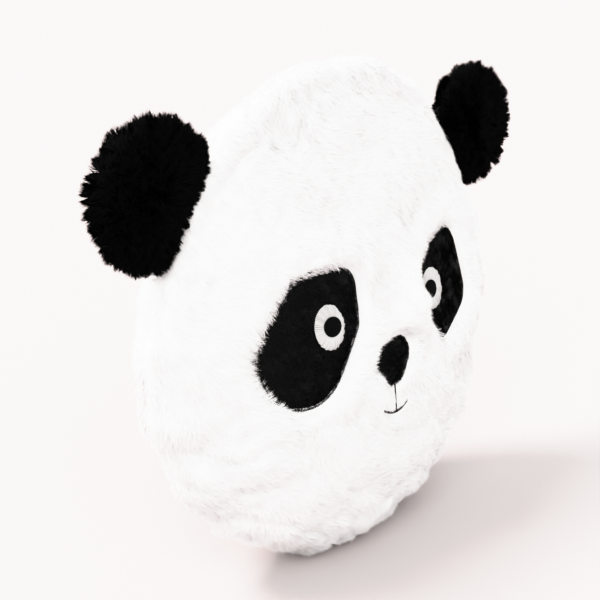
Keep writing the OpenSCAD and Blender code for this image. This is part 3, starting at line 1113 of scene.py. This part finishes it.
def care_label(tree):
    """Blank woven label that lies on the back from the rim seam inwards, its free end a little raised."""
    steps, columns, thick = 24, 16, 0.0003
    far_back = 0.3

    def below(places):
        origins = np.stack([places[:, 0], np.full(len(places), far_back), RIM_HEIGHT + places[:, 1]], axis=-1)
        return on_skin(tree, origins, [(0, -1, 0)] * len(origins))

    inwards = np.linspace(0, LABEL_L, 80)
    slope = below(label_place(inwards, 0 * inwards))[0]
    walked = np.concatenate([[0], np.cumsum(np.linalg.norm(np.diff(slope, axis=0), axis=1))])
    along = np.interp(np.linspace(0, LABEL_L, steps + 1), walked, inwards)
    across = np.linspace(-LABEL_W / 2, LABEL_W / 2, columns + 1)
    rows, cols = np.meshgrid(along, across, indexing="ij")
    skin_points, normals = below(label_place(rows.ravel(), cols.ravel()))
    share = np.repeat(np.linspace(0, 1, steps + 1), columns + 1)
    sideways = np.tile(across / LABEL_W, steps + 1)
    over_skin, raised_end = 0.0022, 0.0018
    wave = 0.0005 * np.sin(5 * share + 3 * sideways) + raised_end * share**3 * (1 + 2 * sideways)
    middle = skin_points + normals * (over_skin + wave)[:, None]
    points = np.concatenate([middle + normals * thick / 2, middle - normals * thick / 2])
    obj = shown_as("care_label_sheet", points, strip_faces(steps, columns), LABEL_CLOTH)
    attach(obj, "head")
    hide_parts("care_label")


def closing_seam(tree):
    """Ladder stitches over the edge of the head, where it was closed after filling."""
    reach, far_out, over_skin = 0.003, 0.3, 0.0006
    rise, radius = 0.0012, 0.0006
    directions = np.stack([np.cos(CLOSING_TURNS), 0 * CLOSING_TURNS, np.sin(CLOSING_TURNS)], axis=-1)
    rows = []
    for across in (-reach, reach):
        origins = directions * far_out + (0, RIM_Y + across, RIM_HEIGHT)
        rows.append(on_skin(tree, origins, -directions)[0] + over_skin * directions)
    obj = threads("closing_stitches_thread", rows[0], rows[1], rise, radius, WHITE_THREAD, out=directions)
    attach(obj, "head")
    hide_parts("closing_stitches")


# ---- Filling ----

def filling(name, skin, node, depth):
    """The lump of fibre that fills a skin, with its own lumps."""
    obj = bpy.data.objects.new(name, skin.data.copy())
    bpy.context.collection.objects.link(obj)
    at = vertex_array(obj.data)
    lumps = depth * (1 + 0.25 * ripple(at, 0.02, 55)[:, :1])
    set_vertices(obj.data, at - vertex_array(obj.data, "normal") * lumps)
    set_material(obj, FIBRE)
    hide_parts(node)
    return obj


# ---- Floor, light, camera ----

def floor():
    """Plain pale floor."""
    size = 12
    colour = (0.455, 0.418, 0.412)
    corners = [(-size, -size, 0), (size, -size, 0), (size, size, 0), (-size, size, 0)]
    shown_as("floor", corners, [(0, 1, 2, 3)], cloth_material("floor", colour, colour, 3))


def view_direction(azimuth, elevation):
    turn, rise = math.radians(azimuth), math.radians(elevation)
    return Vector((math.sin(turn) * math.cos(rise), -math.cos(turn) * math.cos(rise), math.sin(rise)))


def sun(name, azimuth, elevation, softness, strength, color=(1, 1, 1)):
    """Distant lamp at an azimuth and elevation; softness is the angle it covers in degrees."""
    lamp = bpy.data.lights.new(name, "SUN")
    lamp.angle = math.radians(softness)
    lamp.energy = strength
    lamp.color = color
    obj = bpy.data.objects.new(name, lamp)
    bpy.context.collection.objects.link(obj)
    obj.rotation_euler = (-view_direction(azimuth, elevation)).to_track_quat("-Z", "Y").to_euler()


def soft_highlights(scene):
    """Tone curve of a bright studio print: whites are pressed together, dark tones stay as they are."""
    scene.view_settings.view_transform = "Standard"
    scene.view_settings.use_curve_mapping = True
    curve = scene.view_settings.curve_mapping
    brightest = 2.5
    curve.white_level = (brightest, brightest, brightest)
    shown = {0.1: 0.1, 0.3: 0.40, 0.5: 0.68, 0.7: 0.87, 0.9: 0.94, 1.3: 0.972}
    for scene_value, shown_value in shown.items():
        curve.curves[3].points.new(scene_value / brightest, shown_value)
    curve.update()


def studio():
    """White surroundings, a key light from behind on the left and a soft fill from the camera's side."""
    scene = bpy.context.scene
    world = bpy.data.worlds.new("studio")
    scene.world = world
    world.use_nodes = True
    sky = world.node_tree.nodes["Background"]
    sky.inputs["Color"].default_value = (1, 1, 1, 1)
    sky.inputs["Strength"].default_value = 0.96
    sun("key", azimuth=-134, elevation=58, softness=22, strength=3.25, color=(1, 0.88, 0.87))
    sun("fill", azimuth=-48, elevation=37, softness=50, strength=2.05)
    soft_highlights(scene)


def camera():
    """Camera at the photo's angle, with the shift that puts the head where the photo has it."""
    back = view_direction(azimuth=-49.5, elevation=18.52)
    distance = 0.8245
    aim = Vector((0, RIM_Y, RIM_HEIGHT - 0.007))
    data = bpy.data.cameras.new("camera")
    data.sensor_width = 36
    data.lens = 70.1
    data.shift_x = -0.0568
    data.shift_y = 0.0138
    obj = bpy.data.objects.new("camera", data)
    bpy.context.collection.objects.link(obj)
    obj.location = aim + back * distance
    obj.rotation_euler = (-back).to_track_quat("-Z", "Y").to_euler()
    bpy.context.scene.camera = obj


# ---- Build ----

CARRIED = {
    "rim_thread": WHITE_THREAD,
    "ear_root_left": BLACK_BACKING,
    "ear_root_right": BLACK_BACKING,
}

camera()
studio()
floor()
for node_name, cad_material in CARRIED.items():
    set_material(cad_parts[node_name], cad_material)
skin = head_skin()
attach(filling("head_filling", skin, "head_stuffing", 0.004), "head")
white_fur(skin)
skin_tree = BVHTree.FromPolygons([v.co for v in skin.data.vertices], [f.vertices for f in skin.data.polygons])
care_label(skin_tree)
closing_seam(skin_tree)
for side in (LEFT, RIGHT):
    ear = ear_skin(side)
    name = SIDE_NAMES[side]
    bend_with_ear(filling(f"ear_filling_{name}", ear, f"ear_stuffing_{name}", 0.002))
    ear_fur(side, ear)
    eye_patch(side)
nose()
mouth()
